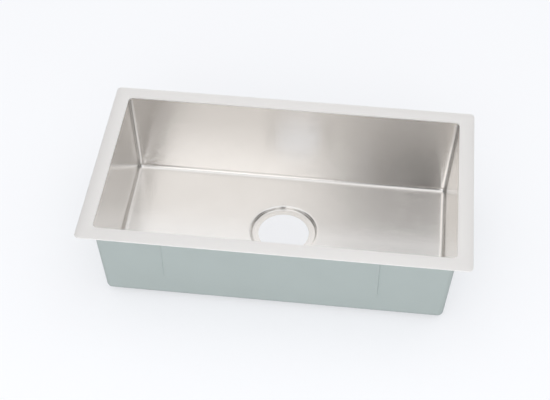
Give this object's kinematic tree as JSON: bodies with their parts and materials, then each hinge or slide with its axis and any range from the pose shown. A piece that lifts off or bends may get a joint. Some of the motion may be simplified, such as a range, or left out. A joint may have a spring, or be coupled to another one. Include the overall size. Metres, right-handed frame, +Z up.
{
  "type": "undermount kitchen sink",
  "caption": "Rectangular undermount kitchen sink: deep stainless steel bowl with a flat rim, a recessed round drain hole, and sound pads under a sprayed coat outside.",
  "frame": {"origin": "under the middle of the rim's outline, on the surface that the sink stands on, which is the underside of the drain recess", "axes": "+X to the right along the long side, +Y to the back, +Z up out of the open bowl"},
  "size_m": [0.78, 0.45, 0.2052],
  "materials": {
    "bowl_steel": "satin, brushed along each sheet",
    "rim_steel": "fine matt brushed",
    "pad_rubber": "matt",
    "sprayed_coat": "matt sprayed"
  },
  "bodies": {
    "root": {"floor_pan": "bowl_steel", "front_wall": "bowl_steel", "back_wall": "bowl_steel", "left_wall": "bowl_steel", "right_wall": "bowl_steel", "corner_front_left": "bowl_steel", "corner_front_right": "bowl_steel", "corner_back_left": "bowl_steel", "corner_back_right": "bowl_steel", "rim_front": "rim_steel", "rim_back": "rim_steel", "rim_left": "rim_steel", "rim_right": "rim_steel", "pad_front": "pad_rubber", "pad_back": "pad_rubber", "pad_left": "pad_rubber", "pad_right": "pad_rubber", "floor_pad_left": "pad_rubber", "floor_pad_right": "pad_rubber", "floor_pad_front": "pad_rubber", "undercoat": "sprayed_coat"}
  },
  "joints": []
}
